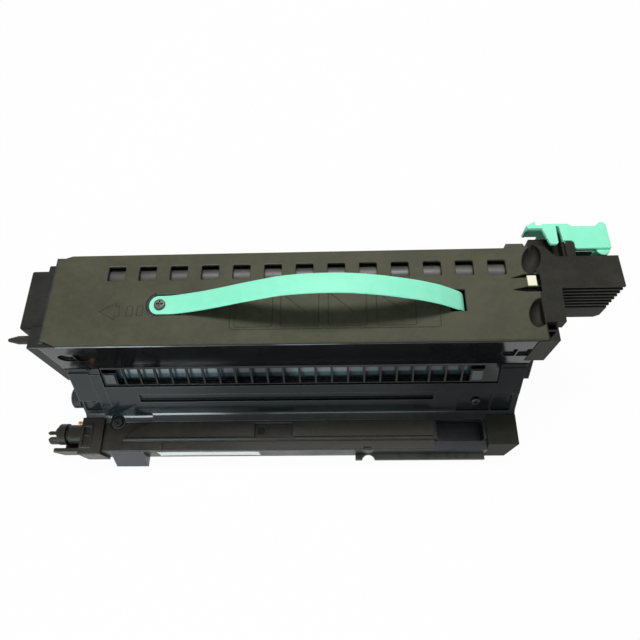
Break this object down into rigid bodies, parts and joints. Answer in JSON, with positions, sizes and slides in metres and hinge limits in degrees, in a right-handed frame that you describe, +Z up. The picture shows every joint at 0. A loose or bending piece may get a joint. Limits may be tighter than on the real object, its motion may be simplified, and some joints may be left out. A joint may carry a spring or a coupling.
{
  "type": "printer drum unit",
  "caption": "Long printer drum unit with vented cover, carrying strap, ribbed grip box, swinging lock lever, photoconductor drum, rollers, toner augers, gears and a sliding toner shutter",
  "frame": {"origin": "on the flat underside of the toner sump, which is the base plane; the front edge of the top cover is at y 0", "axes": "+X runs along the drum towards the ribbed grip end, +Y points to the rear, +Z points up from the flat base"},
  "size_m": [0.3854, 0.1339, 0.1304],
  "materials": {
    "cover_black": "fine moulded grain, olive black",
    "frame_black": "semi-gloss black moulding",
    "band_gloss": "glossy black moulding",
    "pad_grey": "slate grey plate",
    "tube_grey": "satin grey tube",
    "screw_black": "blackened steel",
    "tray_black": "satin black moulding",
    "grip_black": "matte black moulding",
    "mint_green": "satin mint green moulding",
    "pad_white": "off-white block",
    "screw_steel": "zinc-plated steel",
    "shaft_steel": "ground steel",
    "drum_coat": "glossy blue-green photoconductor coat",
    "sleeve_alu": "blasted dark aluminium",
    "roller_rubber": "conductive grey-black rubber",
    "gear_white": "natural white acetal",
    "auger_grey": "grey moulding",
    "contact_brass": "bare brass"
  },
  "bodies": {
    "housing": {"top_cover": "cover_black", "front_frame": "frame_black", "front_band": "band_gloss", "grille_pads": "pad_grey", "side_plate_left": "frame_black", "side_plate_right": "frame_black", "rear_cover": "cover_black", "lower_housing": "tray_black", "tray_cover": "tray_black", "tray_cap_left": "tray_black", "coupling_guard": "tray_black", "tray_foot": "tray_black", "tray_block_right": "tray_black", "guide_rail": "screw_steel", "tray_screw": "screw_black", "wall_screw": "screw_black", "handle_strap": "mint_green", "strap_screw": "screw_steel", "alignment_pad": "pad_white", "left_end_housing": "cover_black", "guide_pin_left": "tray_black", "right_end_cap": "grip_black", "lever_pin": "screw_steel", "vent_tube": "tube_grey", "drum_bush_left": "gear_white", "drum_bush_right": "gear_white", "charge_bearing_left": "tray_black", "charge_bearing_right": "tray_black", "charge_spring_left": "screw_steel", "charge_spring_right": "screw_steel", "cleaning_blade": "roller_rubber", "blade_holder": "screw_steel", "blade_screws": "screw_steel", "waste_trough": "tray_black", "doctor_blade": "screw_steel", "contact_pin": "contact_brass"},
    "drum": {"drum_tube": "drum_coat", "drum_gear_flange": "gear_white", "drum_flange_right": "gear_white", "drum_shaft": "shaft_steel"},
    "charge": {"charge_roller": "roller_rubber", "charge_roller_shaft": "shaft_steel"},
    "sleeve": {"developer_sleeve": "sleeve_alu", "sleeve_shaft": "shaft_steel", "sleeve_gear": "gear_white"},
    "rear_auger": {"mixing_auger_rear": "auger_grey", "rear_auger_gear": "gear_white"},
    "front_auger": {"mixing_auger_front": "auger_grey", "front_auger_gear": "gear_white", "auger_coupling": "tray_black"},
    "waste": {"waste_auger": "auger_grey", "waste_auger_gear": "gear_white"},
    "lever": {"lock_lever": "mint_green"},
    "shutter": {"toner_shutter": "tray_black"}
  },
  "joints": [
    {"name": "drum_spin", "type": "hinge", "parent": "housing", "child": "drum", "pos_m": [0, 0.02, 0.044], "axis": [1, 0, 0], "continuous": true},
    {"name": "charge_spin", "type": "hinge", "parent": "housing", "child": "charge", "pos_m": [0, 0.02227, 0.06995], "axis": [1, 0, 0], "continuous": true},
    {"name": "sleeve_spin", "type": "hinge", "parent": "housing", "child": "sleeve", "pos_m": [0, -0.002, 0.02668], "axis": [1, 0, 0], "continuous": true},
    {"name": "waste_spin", "type": "hinge", "parent": "housing", "child": "waste", "pos_m": [0, 0.04631, 0.05358], "axis": [1, 0, 0], "continuous": true},
    {"name": "front_auger_spin", "type": "hinge", "parent": "housing", "child": "front_auger", "pos_m": [0, -0.0302, 0.0112], "axis": [1, 0, 0], "continuous": true},
    {"name": "rear_auger_spin", "type": "hinge", "parent": "housing", "child": "rear_auger", "pos_m": [0, -0.0158, 0.0112], "axis": [1, 0, 0], "continuous": true},
    {"name": "lever_swing", "type": "hinge", "parent": "housing", "child": "lever", "pos_m": [0.1918, 0.0615, 0.1], "axis": [0, 0, -1], "range_deg": [0, 40]},
    {"name": "shutter_slide", "type": "slide", "parent": "housing", "child": "shutter", "axis": [1, 0, 0], "range_m": [0, 0.028]}
  ],
  "couplings": [
    {"joint": "sleeve_spin", "follows": "drum_spin", "ratio": -2.1818},
    {"joint": "waste_spin", "follows": "drum_spin", "ratio": -2.1818},
    {"joint": "charge_spin", "follows": "drum_spin", "ratio": -3.3333},
    {"joint": "rear_auger_spin", "follows": "front_auger_spin", "ratio": -1}
  ]
}
